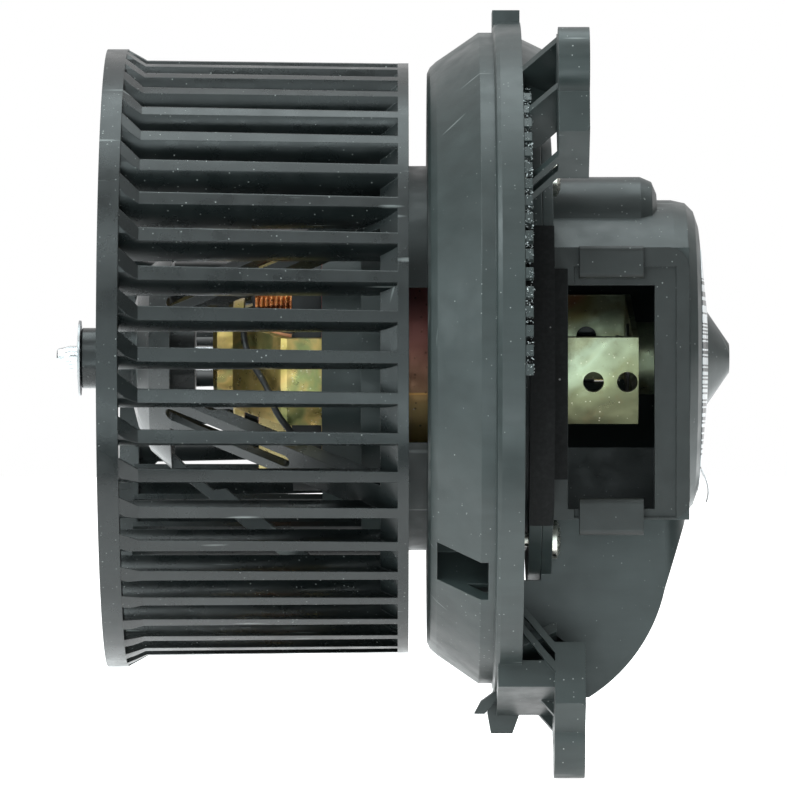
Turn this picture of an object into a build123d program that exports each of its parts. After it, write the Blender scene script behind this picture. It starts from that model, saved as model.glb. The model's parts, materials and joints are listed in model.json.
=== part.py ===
from build123d import *
import math
import os

# Vehicle heater blower: a moulded squirrel-cage wheel on the shaft of a brushed motor.
# Millimetres. The shaft axis is X, the wheel is on the -X side, and X = 0 is the face that
# seats on the heater casing. +Z is up. Angles are about +X, from -Y, positive towards -Z.

# ---- fan wheel ----
wheel_radius = 75.0
wheel_front = -93.1
front_ring_width = 5.0
front_ring_wall = 5.5
rear_ring_back = -20.3
rear_ring_width = 2.6
rear_ring_wall = 5.6
blade_count = 47
blade_first_angle = 74.75
blade_radius_front = 72.3
blade_radius_rear = 71.6
blade_flare_length = 4.6
blade_chord = 9.2
blade_lean = 17.0
blade_camber = 1.7
blade_thickness = 1.3
blade_edge_bead = 1.1
cone_wall = 2.8
cone_nose_x = -72.5
cone_nose_radius = 31.1
cone_rim_drop = 0.9
boss_radius = 7.35
boss_front = -99.8
boss_step_radius = 11.8
boss_step_x = -92.0
hub_shoulder_x = -87.0
hub_back = -72.0
hub_tail_radius = 9.5
hub_web_back = -83.2
spoke_count = 6
spoke_first_angle = 30.0
spoke_width = 8.0
spoke_slot_width = 3.0
spoke_slot_start = -77.0
spoke_slot_end = -50.0
spoke_window_start = -77.5
spoke_window_end = -27.0
spoke_rib_width = 1.2
spoke_rib_depth = 3.0

# ---- shaft line ----
shaft_radius = 3.0
shaft_tip = -105.7
shaft_tip_radius = 2.35
shaft_tip_taper = 3.2
shaft_end = 43.5
shaft_groove_count = 12
shaft_groove_depth = 0.3
shaft_groove_length = 4.6
push_nut_radius = 9.15
push_nut_thickness = 0.5
push_nut_dish = 0.5
push_nut_teeth = 6
seat_gap = 0.02
running_clearance = 0.03

# ---- motor ----
can_radius = 32.3
can_wall = 1.6
can_front = -41.1
can_back = 12.0
can_tab_width = 4.0
can_tab_length = 3.0
air_gap = 0.7
magnet_thickness = 5.4
magnet_span = 130.0
magnet_front = -32.0
magnet_back = 10.0
clip_thickness = 0.8
clip_relief = 6.0
stack_front = -27.0
stack_back = 7.0
slot_count = 12
slot_depth = 11.0
slot_width = 6.0
slot_mouth = 2.0
coil_head_length = 9.0
coil_head_drop = 3.6
insulator_thickness = 0.8
commutator_radius = 11.5
commutator_front = -57.0
commutator_back = -43.0
commutator_core_radius = 7.0
commutator_bars_count = 12
commutator_gap = 0.6
bearing_radius = 6.4
bearing_length = 5.4
bracket_wall = 1.4
cup_radius = 8.8
front_cup_face = -67.6
front_cup_depth = 7.0
rear_cup_face = 41.6
strap_width = 21.0
strap_angle = 10.5
front_strap_flare_x = -49.3
front_strap_end = -39.6
rear_strap_back = 34.6
rear_ring_depth = 3.0
strap_hole_radius = 2.45
strap_hole_x = 23.8
strap_corner_hole_x = 31.9
thrust_washer_radius = 5.6
thrust_washer_thickness = 0.8

# ---- brush gear ----
card_front = -46.6
card_thickness = 2.2
card_bore_gap = 1.7
card_rim_front = -48.2
card_rim_wall = 2.2
brush_axial = 8.0
brush_width = 6.0
brush_front = -55.6
brush_length = 10.5
brush_clearance = 0.15
brush_contact_gap = 0.08
brush_box_wall = 0.8
brush_box_start_gap = 1.9
brush_box_end_gap = 3.3
spring_wire = 0.55
spring_radius = 2.1
spring_turns = 3.0
choke_radius = 3.4
choke_core_radius = 2.0
choke_length = 10.0
choke_turns = 8
choke_wire = 1.1
choke_rim_gap = 4.83
choke_angle = 41.08
lead_radius = 1.0
lead_orbit = 34.7
lead_spread = 28.0
lead_notch = 3.4

# ---- carrier and flange ----
carrier_radius = 46.7
carrier_wall = 2.2
carrier_front = -31.6
carrier_back = 11.4
neck_front = -41.0
isolator_thickness = 2.2
isolator_gap = 0.05
front_isolator_x = -37.5
rear_isolator_x = 0.5
isolator_length = 6.0
collar_front = -2.0
collar_ribs = 6
drum_front = -15.8
drum_front_radius = 71.3
drum_corner = 2.2
drum_wall = 2.5
spigot_radius = 79.0
spigot_length = 3.4
flange_radius = 81.5
flange_thickness = 6.7
flange_edge_round = 1.4
drum_ribs = 12
drum_rib_thickness = 1.6
end_flange_radius = 55.0
end_flange_thickness = 3.0
carrier_window_front = -24.0
carrier_window_top = 16.5
carrier_window_bottom = -20.2
inlet_angle = 42.0
inlet_height = 12.0
inlet_depth = 9.0
inlet_front = -13.6
inlet_back = -1.6
ear_pitch_radius = 95.2
ear_count = 3
ear_first_angle = -45.6
ear_radius = 9.0
ear_hole_radius = 2.75
ear_front = 14.5
ear_thickness = 7.3
ear_root_radius = 75.0
ear_shoulder_radius = 90.0
ear_root_width = 34.0
ear_web_thickness = 2.0
ear_web_root = 70.0
ear_web_reach = 10.3
ear_web_back_radius = 84.0
ear_strut_width = 2.4
ear_strut_pitch = 4.6
ear_arc_span = 24.0
ear_long_arc_span = 46.0
ear_long_arc_centre = -27.0
ear_arc_radius = 77.6
ear_arc_drop = 4.0
ear_skirt_radius = 85.5
ear_clearance = 0.4
lug_width = 14.0
top_lug_radius = 84.2
bottom_lug_radius = 90.9
comb_front = 6.7
comb_tooth = 1.3
comb_height = 1.9
comb_pitch_angle = 3.2
comb_teeth = 17
comb_first_angle = -49.0

# ---- rear cover ----
cover_radius = 38.4
cover_wall = 2.2
cover_front = 11.5
cover_flange_thickness = 2.5
cover_back = 49.4
cover_corner = 6.0
dome_rise = 2.6
nose_radius = 11.7
nose_tip_radius = 3.55
nose_length = 5.6
scoop_near = -18.0
scoop_far = 31.0
scoop_bottom = -81.7
scoop_tail_x = 23.1
scoop_shoulder_x = 46.3
scoop_knee_x = 41.4
scoop_knee_height = -55.5
scoop_middle_x = 36.4
scoop_middle_height = -68.2
scoop_edge = 5.0
scoop_lip_front = 7.0
scoop_lip_bottom = -74.0
duct_radius = 10.8
duct_height = 33.0
duct_back = 39.6
duct_offset = -8.0
frame_back = 46.4
frame_top = 26.1
frame_bottom = -38.6
frame_thickness = 2.4
frame_corner = 5.0
window_front = 17.5
window_back = 38.1
window_top = 17.1
window_bottom = -36.0
clip_front = 20.2
clip_back = 35.4
clip_depth = 2.2
cover_screw_radius = 1.75
cover_screw_head_radius = 4.65
cover_screw_head = 2.0
cover_screw_orbit = 49.8
cover_screw_angles = (61.0, 140.0, 230.0, 300.0)
cover_screw_length = 9.0
label_thickness = 0.15
label_top = 26.0
label_bottom = -33.0
label_near = -35.0
label_far = -3.0

# ---- connector ----
connector_x = 29.0
connector_length = 22.0
connector_height = 18.0
connector_depth = 13.0
connector_wall = 1.6
terminal_width = 6.3
terminal_thickness = 0.8
terminal_pitch = 10.0
terminal_tail = 33.6

# ---- worked out from the sizes above ----
blade_front = wheel_front + front_ring_width
rear_ring_front = rear_ring_back - rear_ring_width
cone_rim_radius = blade_radius_rear - cone_rim_drop
cone_slope = (cone_rim_radius - cone_nose_radius) / (rear_ring_front - cone_nose_x)
can_bore = can_radius - can_wall
magnet_bore = can_bore - magnet_thickness
stack_radius = magnet_bore - air_gap
coil_head_radius = stack_radius - coil_head_drop
card_bore = commutator_radius + card_bore_gap
brush_box_start = commutator_radius + brush_box_start_gap
brush_box_end = can_bore - brush_box_end_gap
choke_offset_y = (can_bore - choke_rim_gap) * math.cos(math.radians(choke_angle))
choke_offset_z = (can_bore - choke_rim_gap) * math.sin(math.radians(choke_angle))
isolator_bore = can_radius + isolator_gap
isolator_outer = isolator_bore + isolator_thickness
neck_bore = isolator_outer + isolator_gap
neck_radius = neck_bore + carrier_wall
carrier_bore = carrier_radius - carrier_wall
drum_inner_face = drum_front + drum_wall
cover_mount_x = cover_front + cover_flange_thickness
frame_front = cover_mount_x + seat_gap
dome_back = cover_back + dome_rise
strap_bore = can_radius + isolator_gap


def turned(points, span=360.0):
    """Solid of revolution about X from (x, radius) points; a partial one is centred on the -Y side."""
    face = Plane.XZ * make_face(Polyline(*points, close=True))
    solid = revolve(face, axis=Axis.X, revolution_arc=span)
    return solid if span == 360.0 else Rot(X=90.0 - span / 2.0) * solid


def tube(x_start, x_end, outer, inner=0.0):
    """Plain tube or rod along X."""
    low = min(x_start, x_end)
    high = max(x_start, x_end)
    if inner <= 0.0:
        return turned([(low, 0.0), (low, outer), (high, outer), (high, 0.0)])
    return turned([(low, inner), (low, outer), (high, outer), (high, inner)])


def block(x_range, y_range, z_range):
    """Box from its ranges along the three axes."""
    size = [high - low for low, high in (x_range, y_range, z_range)]
    middle = [(high + low) / 2.0 for low, high in (x_range, y_range, z_range)]
    return Pos(*middle) * Box(*size)


def at_angle(shape, angle):
    """Turn a feature made on the -Y side to its angle about the shaft."""
    return Rot(X=angle) * shape


def ring_of(shape, count, first=0.0):
    """Copies of a feature spread evenly around the shaft."""
    return [at_angle(shape, first + 360.0 * index / count) for index in range(count)]


def radial_rod(x, radius, r_start, r_end, sideways=0.0):
    """Rod that points along -Y, from one distance to another."""
    rod = Cylinder(radius, r_end - r_start, rotation=(90, 0, 0))
    return Pos(x, -(r_start + r_end) / 2.0, sideways) * rod


def plate_xz(points, y_low, y_high):
    """Flat plate with an outline of (x, z) points, between two Y values."""
    face = Plane.XZ * make_face(Polyline(*points, close=True))
    return Pos(0, y_high, 0) * extrude(face, amount=y_high - y_low)


def plate_xy(points, thickness):
    """Flat plate in the plane of the shaft and -Y, centred on Z = 0, from (x, radius) points."""
    mirrored = [(x, -radius) for x, radius in points]
    face = make_face(Polyline(*mirrored, close=True))
    return extrude(face, amount=thickness / 2.0, both=True)


# ---------------------------------------------------------------- fan wheel
def blade_profile():
    """Thick arc that leans forward, with a straight tongue beyond its tip for the flare."""
    lean = math.radians(blade_lean)
    outward = Vector(-math.cos(lean), math.sin(lean))
    downward = Vector(-math.sin(lean), -math.cos(lean))
    arc_radius = blade_chord ** 2 / (8.0 * blade_camber) + blade_camber / 2.0
    tip = Vector(-blade_radius_front, -blade_thickness)
    root = tip - outward * blade_chord
    centre = (tip + root) * 0.5 - downward * (arc_radius - blade_camber)
    to_tip = (tip - centre).normalized()
    to_root = (root - centre).normalized()
    along = Vector(-to_tip.Y, to_tip.X)
    if along.dot(outward) < 0.0:
        along = along * -1.0
    tongue = along * (3.0 * (wheel_radius - blade_radius_front))
    bead = to_tip * blade_edge_bead
    outer = arc_radius + blade_thickness / 2.0
    inner = arc_radius - blade_thickness / 2.0
    corners = [centre + to_root * outer, centre + downward * outer, centre + to_tip * outer + bead]
    inside = [centre + to_tip * inner, centre + downward * inner, centre + to_root * inner]
    edges = [
        ThreePointArc(*corners),
        Polyline(corners[2], corners[2] + tongue, inside[0] + tongue, inside[0]),
        ThreePointArc(*inside),
        Line(inside[2], corners[0]),
    ]
    return make_face(Curve() + edges)


def blade():
    overlap = 1.0
    start = blade_front - overlap
    length = rear_ring_front + overlap - start
    body = extrude(Plane.YZ * blade_profile(), amount=length)
    body = Pos(start, 0, 0) * body
    inner = blade_radius_rear - 1.5 * blade_chord
    envelope = turned([
        (start, inner),
        (start, wheel_radius - 0.2),
        (blade_front, wheel_radius - 0.2),
        (blade_front + blade_flare_length, blade_radius_front),
        (rear_ring_front + overlap, blade_radius_rear),
        (rear_ring_front + overlap, inner),
    ])
    return body & envelope


def hub_outline():
    """Front surface of hub and cone, from the boss to the rear ring."""
    return [
        (boss_front, 0.0),
        (boss_front, boss_radius - 0.5),
        (boss_front + 0.5, boss_radius),
        (boss_step_x, boss_radius),
        (boss_step_x, boss_step_radius),
        (hub_shoulder_x, boss_step_radius),
        (hub_shoulder_x + 1.3, boss_step_radius + 5.0),
        (hub_shoulder_x + 4.3, boss_step_radius + 10.7),
        (hub_shoulder_x + 9.8, cone_nose_radius - 3.7),
        (cone_nose_x, cone_nose_radius),
        (rear_ring_front, cone_rim_radius),
    ]


def cone_inner_radius(x):
    return cone_nose_radius + cone_slope * (x - cone_nose_x) - cone_wall


def spider():
    """Boss, hub and cone with its windows, spokes and spoke ribs."""
    back_edge = [
        (rear_ring_front, cone_rim_radius - cone_wall),
        (cone_nose_x + 1.0, cone_inner_radius(cone_nose_x + 1.0)),
        (hub_shoulder_x + 11.0, cone_nose_radius - 6.3),
        (hub_shoulder_x + 6.0, boss_step_radius + 8.2),
        (hub_web_back, boss_step_radius + 3.2),
        (hub_web_back, hub_tail_radius),
        (hub_back, hub_tail_radius),
        (hub_back, 0.0),
    ]
    body = turned(hub_outline() + back_edge)
    half = math.radians(180.0 / spoke_count)
    apex = spoke_width / 2.0 / math.sin(half)
    reach = wheel_radius + 5.0
    wedge_points = [
        (-apex, 0.0),
        (-reach, (reach - apex) * math.tan(half)),
        (-reach, -(reach - apex) * math.tan(half)),
    ]
    wedge = Plane.YZ * make_face(Polyline(*wedge_points, close=True))
    wedge = extrude(wedge, amount=spoke_window_end - spoke_window_start)
    wedge = Pos(spoke_window_start, 0, 0) * wedge
    middle = spoke_first_angle + 180.0 / spoke_count
    body -= ring_of(wedge, spoke_count, middle)
    slot = block((spoke_slot_start, spoke_slot_end), (-wheel_radius, -cone_nose_radius / 2.0),
                 (-spoke_slot_width / 2.0, spoke_slot_width / 2.0))
    slot += radial_rod(spoke_slot_start, spoke_slot_width / 2.0, cone_nose_radius / 2.0, wheel_radius)
    slot += radial_rod(spoke_slot_end, spoke_slot_width / 2.0, cone_nose_radius / 2.0, wheel_radius)
    body -= ring_of(slot, spoke_count, spoke_first_angle)
    rib_start = cone_nose_x + 4.0
    rib_end = spoke_window_end + 2.0
    rib = plate_xy([
        (rib_start, cone_inner_radius(rib_start) + 0.6),
        (rib_end, cone_inner_radius(rib_end) + 0.6),
        (rib_end, cone_inner_radius(rib_end) - spoke_rib_depth),
        (rib_start + 4.0, cone_inner_radius(rib_start + 4.0) - spoke_rib_depth),
    ], spoke_rib_width)
    offset = (spoke_width - spoke_rib_width) / 2.0
    pair = [Pos(0, 0, offset) * rib, Pos(0, 0, -offset) * rib]
    for single in pair:
        body += ring_of(single, spoke_count, spoke_first_angle)
    return body - tube(boss_front - 1.0, hub_back + 1.0, shaft_radius + seat_gap)


def fan_wheel():
    front_ring = tube(wheel_front, blade_front, wheel_radius, wheel_radius - front_ring_wall)
    rear_ring = tube(rear_ring_front, rear_ring_back, blade_radius_rear, blade_radius_rear - rear_ring_wall)
    blades = ring_of(blade(), blade_count, blade_first_angle)
    return front_ring + ([rear_ring, spider()] + blades)


# ---------------------------------------------------------------- shaft line
def shaft():
    body = turned([
        (shaft_tip, 0.0),
        (shaft_tip, shaft_tip_radius - 0.4),
        (shaft_tip + 0.4, shaft_tip_radius),
        (shaft_tip + shaft_tip_taper, shaft_radius),
        (shaft_end - 0.5, shaft_radius),
        (shaft_end, shaft_radius - 0.5),
        (shaft_end, 0.0),
    ])
    groove_width = 0.5
    groove = block((shaft_tip - 1.0, shaft_tip + shaft_groove_length),
                   (-shaft_radius - 1.0, -shaft_radius + shaft_groove_depth),
                   (-groove_width / 2.0, groove_width / 2.0))
    return body - ring_of(groove, shaft_groove_count)


def push_nut():
    front = boss_front - seat_gap - push_nut_thickness - push_nut_dish
    bite = shaft_radius + seat_gap
    body = turned([
        (front, bite),
        (front + push_nut_dish, push_nut_radius),
        (front + push_nut_dish + push_nut_thickness, push_nut_radius),
        (front + push_nut_thickness, bite),
    ])
    notch = block((front - 1.0, boss_front), (-bite - 2.2, -bite + 1.0), (-0.6, 0.6))
    return body - ring_of(notch, push_nut_teeth)


def thrust_washer(x_start):
    return tube(x_start, x_start + thrust_washer_thickness, thrust_washer_radius, shaft_radius + seat_gap)


# ---------------------------------------------------------------- armature
def slot_cut(x_start, x_end, shrink=0.0):
    """One winding slot: a round-bottomed channel below a narrow mouth."""
    low = stack_radius - slot_depth + slot_width / 2.0
    high = stack_radius - 2.6
    half = slot_width / 2.0 - shrink
    channel = block((x_start, x_end), (-high + shrink, -low), (-half, half))
    channel += Pos((x_start + x_end) / 2.0, -low, 0) * Cylinder(half, x_end - x_start, rotation=(0, 90, 0))
    return channel


def lamination_stack():
    body = tube(stack_front, stack_back, stack_radius, shaft_radius + seat_gap)
    mouth = block((stack_front - 1.0, stack_back + 1.0),
                  (-stack_radius - 1.0, -stack_radius + 4.0), (-slot_mouth / 2.0, slot_mouth / 2.0))
    cut = slot_cut(stack_front - 1.0, stack_back + 1.0) + mouth
    return body - ring_of(cut, slot_count)


def armature_windings():
    """Wire in the slots, joined by a rounded coil head at each end of the stack."""
    inner = shaft_radius + 4.0
    edge = 2.5
    gap = insulator_thickness + 2.0 * seat_gap

    def head(x_near, x_far):
        step = math.copysign(edge, x_far - x_near)
        ring = turned([
            (x_near, inner),
            (x_near, coil_head_radius),
            (x_far - step, coil_head_radius),
            (x_far, coil_head_radius - edge),
            (x_far, inner + edge),
            (x_far - step, inner),
        ])
        length = abs(x_far - x_near) + 2.0
        groove = Pos((x_near + x_far) / 2.0, -coil_head_radius - 1.2, 0)
        groove = groove * Cylinder(2.4, length, rotation=(0, 90, 0))
        return ring - ring_of(groove, slot_count, 180.0 / slot_count)

    front = head(stack_front - gap, stack_front - gap - coil_head_length)
    back = head(stack_back + gap, stack_back + gap + coil_head_length)
    bundle = slot_cut(stack_front - gap - 1.0, stack_back + gap + 1.0, 0.25)
    return front + ([back] + ring_of(bundle, slot_count))


def end_insulator(x_start):
    """Fibre disc on one end of the stack, cut away at the slots."""
    body = tube(x_start, x_start + insulator_thickness, stack_radius - 2.0, shaft_radius + seat_gap)
    cut = slot_cut(x_start - 1.0, x_start + insulator_thickness + 1.0)
    cut += block((x_start - 1.0, x_start + insulator_thickness + 1.0),
                 (-stack_radius, -stack_radius + 4.0), (-slot_width / 2.0, slot_width / 2.0))
    return body - ring_of(cut, slot_count)


def commutator_core():
    return tube(commutator_front - 1.0, commutator_back + 1.0, commutator_core_radius, shaft_radius + seat_gap)


def commutator_bars():
    """Copper segments around the core, with a riser at the winding end."""
    inner = commutator_core_radius + seat_gap
    riser = 2.0
    ring = turned([
        (commutator_front, inner),
        (commutator_front, commutator_radius),
        (commutator_back - riser, commutator_radius),
        (commutator_back - riser, commutator_radius + 1.2),
        (commutator_back, commutator_radius + 1.2),
        (commutator_back, inner),
    ])
    gap = block((commutator_front - 1.0, commutator_back + 1.0), (-commutator_radius - 3.0, -inner + 1.0),
                (-commutator_gap / 2.0, commutator_gap / 2.0))
    return ring - ring_of(gap, commutator_bars_count, 180.0 / commutator_bars_count)


# ---------------------------------------------------------------- motor frame
def motor_can():
    body = tube(can_front, can_back, can_radius, can_bore)
    tab = block((can_front - can_tab_length, can_front + 1.0),
                (-can_radius, -can_radius + can_wall), (-can_tab_width / 2.0, can_tab_width / 2.0))
    return body + ring_of(tab, 2, strap_angle + 45.0)


def strap_mask(x_start, x_end):
    """Slab that keeps a bracket's two legs and cuts the rest away."""
    reach = can_radius + 5.0
    half = strap_width / 2.0
    return at_angle(block((x_start, x_end), (-reach, reach), (-half, half)), strap_angle)


def front_bracket():
    """Bearing cup with two strap legs that flare out over the can's front edge."""
    outer = strap_bore + bracket_wall
    neck_x = front_cup_face + 4.9
    cup_back = front_cup_face + front_cup_depth
    body = turned([
        (front_cup_face, shaft_radius + 0.8),
        (front_cup_face, cup_radius - 1.0),
        (front_cup_face + 1.0, cup_radius),
        (neck_x, cup_radius),
        (neck_x, 14.0),
        (neck_x + 3.0, 18.5),
        (front_strap_flare_x - 1.5, outer - 1.0),
        (front_strap_flare_x, outer),
        (front_strap_end, outer),
        (front_strap_end, strap_bore),
        (front_strap_flare_x + 0.6, strap_bore),
        (front_strap_flare_x - 0.6, strap_bore - 1.8),
        (neck_x + 4.0, 16.8),
        (neck_x + bracket_wall, 12.6),
        (cup_back, 12.6),
        (cup_back, bearing_radius + seat_gap),
        (front_cup_face + bracket_wall, bearing_radius + seat_gap),
        (front_cup_face + bracket_wall, shaft_radius + 0.8),
    ])
    keep = strap_mask(front_cup_face - 1.0, front_strap_end + 1.0)
    keep += tube(front_cup_face - 1.0, neck_x + 3.5, 14.6)
    return body & keep


def rear_bracket():
    """Bearing cup on a U-shaped strap that closes the back of the motor."""
    start = can_back + isolator_gap
    half = strap_width / 2.0
    plate_front = rear_strap_back - bracket_wall
    legs = tube(start, rear_strap_back, can_radius, can_bore) & strap_mask(start, rear_strap_back)
    rim = tube(start, start + rear_ring_depth, can_radius, can_bore - 3.0)
    plate = tube(plate_front, rear_strap_back, can_radius, bearing_radius + seat_gap)
    plate = plate & strap_mask(plate_front, rear_strap_back)
    cup = turned([
        (plate_front, bearing_radius + seat_gap),
        (plate_front, cup_radius),
        (rear_cup_face - 1.0, cup_radius),
        (rear_cup_face, cup_radius - 1.0),
        (rear_cup_face, shaft_radius + 0.8),
        (rear_cup_face - bracket_wall, shaft_radius + 0.8),
        (rear_cup_face - bracket_wall, bearing_radius + seat_gap),
    ])
    body = rim + [legs, plate, cup]
    holes = [
        at_angle(radial_rod(strap_hole_x, strap_hole_radius, half, can_radius + 2.0), strap_angle),
        at_angle(radial_rod(strap_hole_x, strap_hole_radius, half, can_radius + 2.0), strap_angle + 180.0),
        at_angle(radial_rod(strap_corner_hole_x, strap_hole_radius, half, can_radius + 2.0), strap_angle),
    ]
    return body - holes


def bearing(x_start):
    """Sintered bush with rounded shoulders."""
    edge = 1.6
    bore = shaft_radius + running_clearance
    x_end = x_start + bearing_length
    return turned([
        (x_start, bore),
        (x_start, bearing_radius - edge),
        (x_start + edge, bearing_radius),
        (x_end - edge, bearing_radius),
        (x_end, bearing_radius - edge),
        (x_end, bore),
    ])


def bearing_retainer(x_start):
    """Spring-steel ring that keeps the bush in its cup."""
    ring = tube(x_start, x_start + 0.6, cup_radius - 0.4, shaft_radius + 1.2)
    notch = block((x_start - 1.0, x_start + 2.0), (-5.4, -shaft_radius), (-0.8, 0.8))
    return ring - ring_of(notch, 4)


def magnet(angle):
    """Curved ferrite magnet centred on an angle."""
    outer = can_bore - seat_gap
    sector = turned([
        (magnet_front, magnet_bore),
        (magnet_front, outer),
        (magnet_back, outer),
        (magnet_back, magnet_bore),
    ], span=magnet_span)
    return at_angle(sector, angle)


def magnet_clips():
    """Two bent spring clips that press the magnets apart."""
    outer = can_bore - seat_gap
    sector = turned([
        (magnet_front + 3.0, outer - clip_thickness),
        (magnet_front + 3.0, outer),
        (magnet_back - 3.0, outer),
        (magnet_back - 3.0, outer - clip_thickness),
    ], span=180.0 - magnet_span - clip_relief)
    return Compound(children=[at_angle(sector, side) for side in (-90.0, 90.0)])


# ---------------------------------------------------------------- brush gear
def brush_opening(grow):
    half_x = brush_axial / 2.0 + grow
    half_y = brush_width / 2.0 + grow
    middle = brush_front + brush_axial / 2.0
    return middle, half_x, half_y


def brush_card():
    rim_outer = can_radius - 0.1
    body = tube(card_front, card_front + card_thickness, rim_outer, card_bore)
    body += tube(card_rim_front, can_front - isolator_gap, rim_outer, rim_outer - card_rim_wall)
    tab = block((card_rim_front, can_front), (-can_radius, -can_radius + can_wall + 0.2),
                (-can_tab_width / 2.0 - 0.2, can_tab_width / 2.0 + 0.2))
    return body - ring_of(tab, 2, strap_angle + 45.0)


def brush_box(side):
    """Folded brass box that guides one brush, standing on the card."""
    middle, half_x, half_y = brush_opening(brush_clearance)
    wall = brush_box_wall
    back = card_front - seat_gap
    outer = block((middle - half_x - wall, back), (-half_y - wall, half_y + wall),
                  (brush_box_start, brush_box_end))
    inner = block((middle - half_x, middle + half_x), (-half_y, half_y),
                  (brush_box_start - 1.0, brush_box_end - wall))
    slot = block((middle - half_x - 2.0 * wall, middle - half_x + 1.0), (-0.9, 0.9),
                 (brush_box_start + 3.0, brush_box_end - 2.0 * wall))
    box = outer - inner - slot
    return box if side > 0 else Rot(X=180) * box


def brush(side):
    middle, half_x, half_y = brush_opening(0.0)
    foot = commutator_radius + brush_contact_gap
    body = block((middle - half_x, middle + half_x), (-half_y, half_y), (foot - 1.0, foot + brush_length))
    body -= tube(commutator_front - 5.0, commutator_back + 5.0, foot)
    return body if side > 0 else Rot(X=180) * body


def brush_spring(side):
    """Coil spring between the brush and the closed end of its box."""
    middle = brush_front + brush_axial / 2.0
    foot = commutator_radius + brush_contact_gap + brush_length + spring_wire
    top = brush_box_end - brush_box_wall - spring_wire
    path = Helix(pitch=(top - foot) / spring_turns, height=top - foot, radius=spring_radius)
    wire = sweep(Plane(origin=path @ 0, z_dir=path % 0) * Circle(spring_wire / 2.0), path=path)
    coil = Pos(middle, 0, foot) * wire
    return coil if side > 0 else Rot(X=180) * coil


def choke_place(angle):
    middle = card_front - seat_gap - choke_length / 2.0 - 0.8
    return at_angle(Pos(middle, -choke_offset_y, choke_offset_z), angle)


def choke_core():
    """Ferrite rod with a flange that sits on the card."""
    rod = Cylinder(choke_core_radius, choke_length, rotation=(0, 90, 0))
    foot = Pos(choke_length / 2.0 + 0.4, 0, 0) * Cylinder(choke_radius, 0.8, rotation=(0, 90, 0))
    return rod + foot


def choke_coil():
    """Close-wound copper turns, each a ring, joined by a thin sleeve."""
    inner = choke_core_radius + seat_gap
    pitch = (choke_length - 0.6) / choke_turns
    ring_middle = choke_radius - choke_wire / 2.0
    body = Cylinder(ring_middle, choke_length - 0.8, rotation=(0, 90, 0))
    for index in range(choke_turns):
        x = -choke_length / 2.0 + 0.3 + pitch * (index + 0.5)
        body += Pos(x, 0, 0) * Torus(ring_middle, choke_wire / 2.0, rotation=(0, 90, 0))
    return body - Cylinder(inner, choke_length + 4.0, rotation=(0, 90, 0))


def choke_pair(shape):
    """The near upper choke and its opposite."""
    return Compound(children=[choke_place(angle + strap_angle) * shape for angle in (0.0, 180.0)])


# ---------------------------------------------------------------- leads and connector
def orbit_point(x, orbit, angle):
    """Point on a circle about the shaft, from the angle above +Y."""
    turn = math.radians(angle)
    return Vector(x, orbit * math.cos(turn), orbit * math.sin(turn))


def lead(side):
    """Insulated lead from the brush card to its terminal, held in the carrier's notches."""
    start_angle = strap_angle + side * lead_spread
    end_height = side * terminal_pitch / 2.0
    end_y = lead_orbit - 0.5
    mid_angle = (start_angle + math.degrees(math.atan2(end_height, end_y))) / 2.0
    back_x = connector_x - terminal_width / 2.0 - 0.05
    points = [
        orbit_point(can_front + 1.0, lead_orbit, start_angle),
        orbit_point(carrier_back + 1.0, lead_orbit, start_angle),
        orbit_point(carrier_back + 6.0, lead_orbit, mid_angle),
        Vector(back_x - 4.4, end_y, end_height),
        Vector(back_x, end_y, end_height),
    ]
    path = FilletPolyline(*points, radius=2.6)
    return sweep(Plane(origin=path @ 0, z_dir=path % 0) * Circle(lead_radius), path=path)


def lead_notches(x_start, x_end):
    """Cuts that let both leads pass the neck, the isolators and the collar."""
    half = lead_notch / 2.0
    low = lead_orbit - lead_radius - 0.15
    cut = block((x_start, x_end), (low, lead_orbit + half), (-half, half))
    return [Rot(X=strap_angle + side * lead_spread) * cut for side in (1, -1)]


def terminal(side):
    """Flat blade: a tail inside the cover and a tongue in the socket."""
    height = side * terminal_pitch / 2.0
    half = terminal_width / 2.0
    thin = terminal_thickness / 2.0
    tongue_end = cover_radius + connector_depth - 2.0
    body = block((connector_x - half, connector_x + half), (terminal_tail, tongue_end - 1.5),
                 (height - thin, height + thin))
    tip = block((connector_x - half + 0.8, connector_x + half - 0.8), (tongue_end - 1.5, tongue_end),
                (height - thin, height + thin))
    return body + tip


def connector_housing():
    """Open socket on the far side of the cover, with a latch rib."""
    half_x = connector_length / 2.0
    half_z = connector_height / 2.0
    base = cover_radius + seat_gap
    mouth = cover_radius + connector_depth
    wall = connector_wall
    body = block((connector_x - half_x, connector_x + half_x), (base, mouth), (-half_z, half_z))
    body -= block((connector_x - half_x + wall, connector_x + half_x - wall), (base + 2.0, mouth + 1.0),
                  (-half_z + wall, half_z - wall))
    body += block((connector_x - 4.0, connector_x + 4.0), (mouth - 5.0, mouth - 2.0),
                  (half_z - 0.5, half_z + 1.6))
    return body - terminal_slots()


def terminal_slots():
    cuts = []
    for side in (1, -1):
        height = side * terminal_pitch / 2.0
        half = terminal_width / 2.0 + 0.1
        thin = terminal_thickness / 2.0 + 0.1
        cuts.append(block((connector_x - half, connector_x + half),
                          (cover_radius - 10.0, cover_radius + 3.0), (height - thin, height + thin)))
    return cuts


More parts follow.
